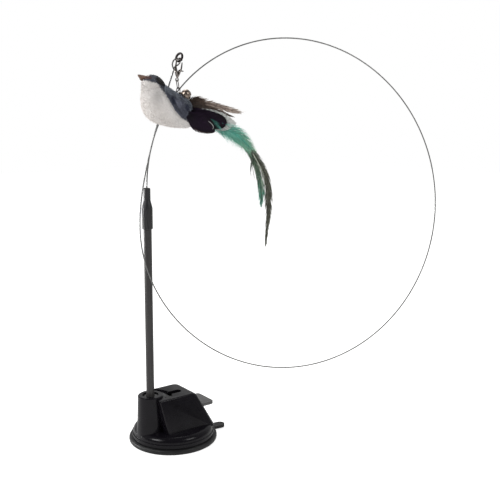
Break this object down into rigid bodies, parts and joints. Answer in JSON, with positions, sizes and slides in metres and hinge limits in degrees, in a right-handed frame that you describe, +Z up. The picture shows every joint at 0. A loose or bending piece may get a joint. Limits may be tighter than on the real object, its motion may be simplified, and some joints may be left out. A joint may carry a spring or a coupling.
{
  "type": "suction cup cat toy",
  "caption": "Upright rod on a lever-locked suction base, with a long hoop of spring wire that carries a feathered bird lure and a bell.",
  "frame": {"origin": "centre of the suction disc's flat underside, on the table", "axes": "+Z up along the rod, +X from the rod towards the lever and the disc's pull tab"},
  "size_m": [0.261, 0.1153, 0.3166],
  "materials": {
    "rubber": "matt",
    "stem_steel": "plain",
    "coil_steel": "plain",
    "housing_plastic": "semi-gloss",
    "lever_plastic": "semi-gloss",
    "plug_plastic": "satin",
    "rod_lacquer": "semi-gloss",
    "ferrule_plastic": "satin",
    "spring_wire": "drawn",
    "ring_steel": "dark nickel",
    "clasp_plating": "polished",
    "link_plating": "polished",
    "bail_plating": "polished",
    "bell_plating": "polished",
    "pellet_steel": "plain",
    "white_plush": "short pile",
    "head_plush": "short pile",
    "beak": "matt",
    "wing_felt": "felt",
    "brown_feather": "feather",
    "black_feather": "feather with a sheen",
    "white_feather": "feather",
    "teal_down": "down",
    "green_plume": "feather"
  },
  "bodies": {
    "base": {"suction_disc": "rubber", "housing": "housing_plastic", "return_spring": "coil_steel"},
    "stem": {"pull_stem": "stem_steel", "lever_pin": "stem_steel"},
    "lever": {"lever": "lever_plastic"},
    "mast": {"rod_plug": "plug_plastic", "rod": "rod_lacquer", "rod_ferrule": "ferrule_plastic", "spring_wire": "spring_wire"},
    "ring": {"split_ring": "ring_steel"},
    "clasp": {"clasp_body": "clasp_plating", "clasp_rivet": "clasp_plating"},
    "gate": {"clasp_gate": "clasp_plating"},
    "link": {"chain_link": "link_plating"},
    "bird": {"bird_bail": "bail_plating", "bird_body": "white_plush", "bird_head": "head_plush", "beak": "beak", "wing_near": "wing_felt", "wing_far": "wing_felt", "brown_feather_upper": "brown_feather", "brown_feather_lower": "brown_feather", "black_feather_near": "black_feather", "black_feather_far": "black_feather", "white_feather": "white_feather", "tail_marabou": "teal_down", "tail_plume_long": "green_plume", "tail_plume_short": "green_plume"},
    "bell": {"bell_shell": "bell_plating"},
    "pellet": {"bell_pellet": "pellet_steel"}
  },
  "joints": [
    {"name": "stem_lift", "type": "slide", "parent": "base", "child": "stem", "axis": [0, 0, 1], "range_m": [0, 0.0014], "deforming": ["return_spring", "suction_disc"]},
    {"name": "lever_turn", "type": "hinge", "parent": "stem", "child": "lever", "pos_m": [0, 0, 0.023], "axis": [0, 1, 0], "range_deg": [0, 21]},
    {"name": "rod_turn", "type": "hinge", "parent": "base", "child": "mast", "pos_m": [-0.0204, 0, 0.03], "axis": [0, 0, 1], "continuous": true},
    {"name": "ring_tilt", "type": "hinge", "parent": "mast", "child": "ring", "pos_m": [-0.01783, -0.04106, 0.29324], "axis": [-0.942, 0.0082, 0.3355], "range_deg": [-0.5, 12]},
    {"name": "clasp_swing", "type": "hinge", "parent": "ring", "child": "clasp", "pos_m": [-0.01735, -0.04236, 0.29308], "axis": [0.007, -0.9963, -0.0862], "range_deg": [-12, 6]},
    {"name": "gate_open", "type": "hinge", "parent": "clasp", "child": "gate", "pos_m": [-0.01786, -0.04161, 0.28438], "axis": [0.007, -0.9963, -0.0862], "range_deg": [0, 8], "stiffness_Nm_per_rad": 0.0002, "springref_deg": -17.19},
    {"name": "link_swing", "type": "hinge", "parent": "clasp", "child": "link", "pos_m": [-0.0189, -0.04116, 0.27917], "axis": [0.007, -0.9963, -0.0862], "range_deg": [-20, 10]},
    {"name": "bird_pitch", "type": "hinge", "parent": "link", "child": "bird", "pos_m": [-0.01823, -0.04168, 0.27313], "axis": [0.6101, 0.7923, 0], "range_deg": [-20, 20]},
    {"name": "bell_swing", "type": "hinge", "parent": "bird", "child": "bell", "pos_m": [-0.0173, -0.04239, 0.27043], "axis": [0.1436, -0.9896, 0], "range_deg": [0, 17]},
    {"name": "pellet_rattle", "type": "slide", "parent": "bell", "child": "pellet", "axis": [0, 0, 1], "range_m": [0, 0.0032]}
  ],
  "couplings": [
    {"joint": "lever_turn", "follows": "stem_lift", "rad_per_m": 256.4}
  ]
}
